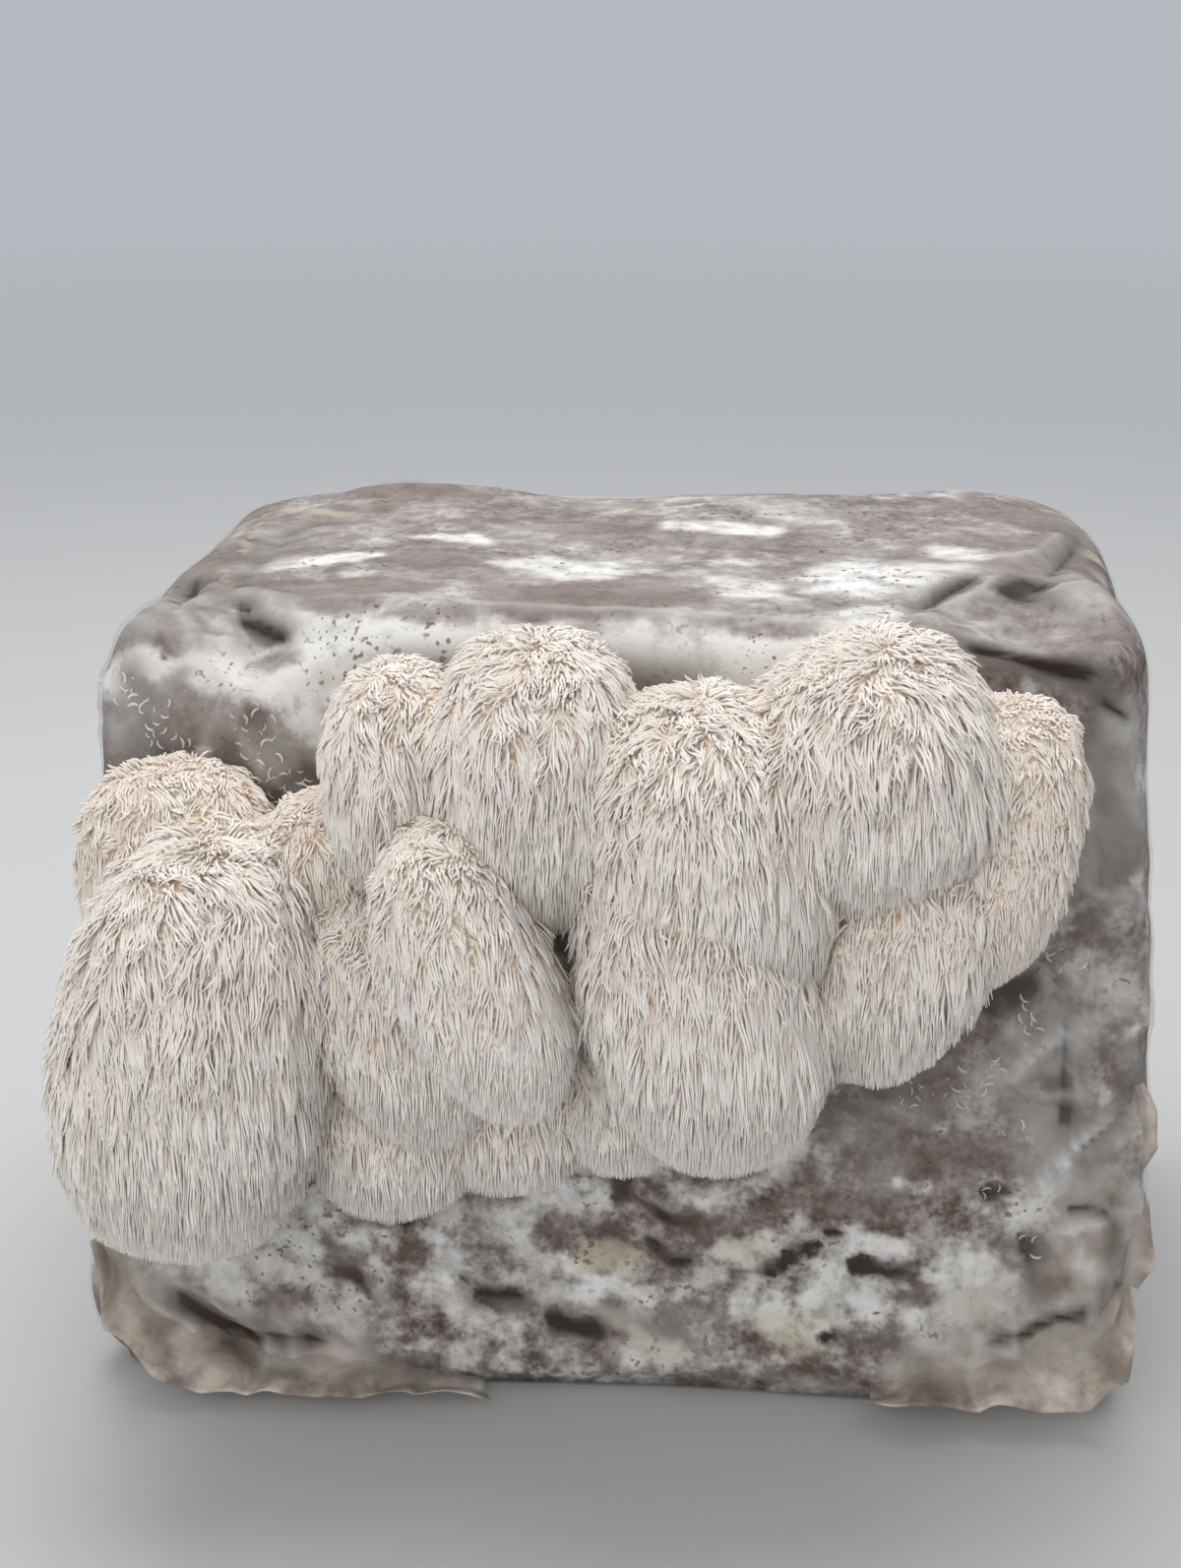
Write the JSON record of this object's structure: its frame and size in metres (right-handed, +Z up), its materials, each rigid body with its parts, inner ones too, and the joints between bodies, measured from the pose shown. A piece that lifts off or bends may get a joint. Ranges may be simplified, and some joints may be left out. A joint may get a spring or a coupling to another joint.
{
  "type": "lion's mane mushroom on its grow block",
  "caption": "Cluster of shaggy white spine-covered mushroom heads fruiting diagonally from the front of a film-wrapped sawdust block that stands flat.",
  "frame": {"origin": "middle of the flat underside that the wrapped block stands on", "axes": "+Z up, +X along the block's width with the mushroom facing the viewer, -Y the way the mushroom grows out of the block"},
  "size_m": [0.2267, 0.2143, 0.1742],
  "materials": {
    "film": "clear limp film, wrinkled, with tan residue in its folds",
    "sawdust": "pressed grey-brown sawdust mottled with white mycelium and dark wet spots",
    "stem_flesh": "matt cream flesh",
    "spines": "matt off-white spines, cream to pale tan at their roots"
  },
  "bodies": {
    "root": {"substrate_block": "sawdust", "grow_bag": "film", "stem": "stem_flesh", "left_front_head": "spines", "left_rear_head": "spines", "left_gap_head": "spines", "left_middle_head": "spines", "low_left_head": "spines", "low_middle_head": "spines", "upper_left_head": "spines", "upper_middle_head": "spines", "front_middle_head": "spines", "centre_upper_head": "spines", "centre_lower_head": "spines", "low_centre_head": "spines", "upper_gap_head": "spines", "upper_right_head": "spines", "right_rear_head": "spines", "lower_right_head": "spines"}
  },
  "joints": []
}
